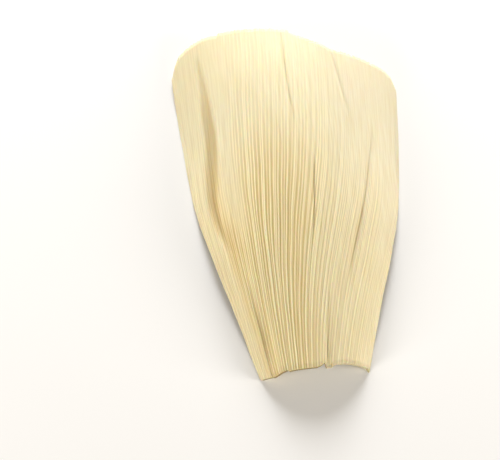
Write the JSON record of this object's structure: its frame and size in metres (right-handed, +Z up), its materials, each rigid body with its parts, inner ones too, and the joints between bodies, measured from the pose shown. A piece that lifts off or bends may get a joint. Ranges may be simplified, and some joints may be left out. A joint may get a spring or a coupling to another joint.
{
  "type": "dried corn husk",
  "caption": "Single dried corn husk leaf, cupped and ribbed, cut straight at the base and torn at the tip, lying on its margins.",
  "frame": {"origin": "middle of the bounding box in X and Y, at the surface that the husk lies on", "axes": "+X across the leaf, +Y along the leaf from the cut base to the torn tip, +Z up through the ribbed outer side"},
  "size_m": [0.137, 0.2255, 0.0316],
  "materials": {
    "dry_husk": "dry fibrous straw, matt"
  },
  "bodies": {
    "root": {"husk": "dry_husk"}
  },
  "joints": []
}
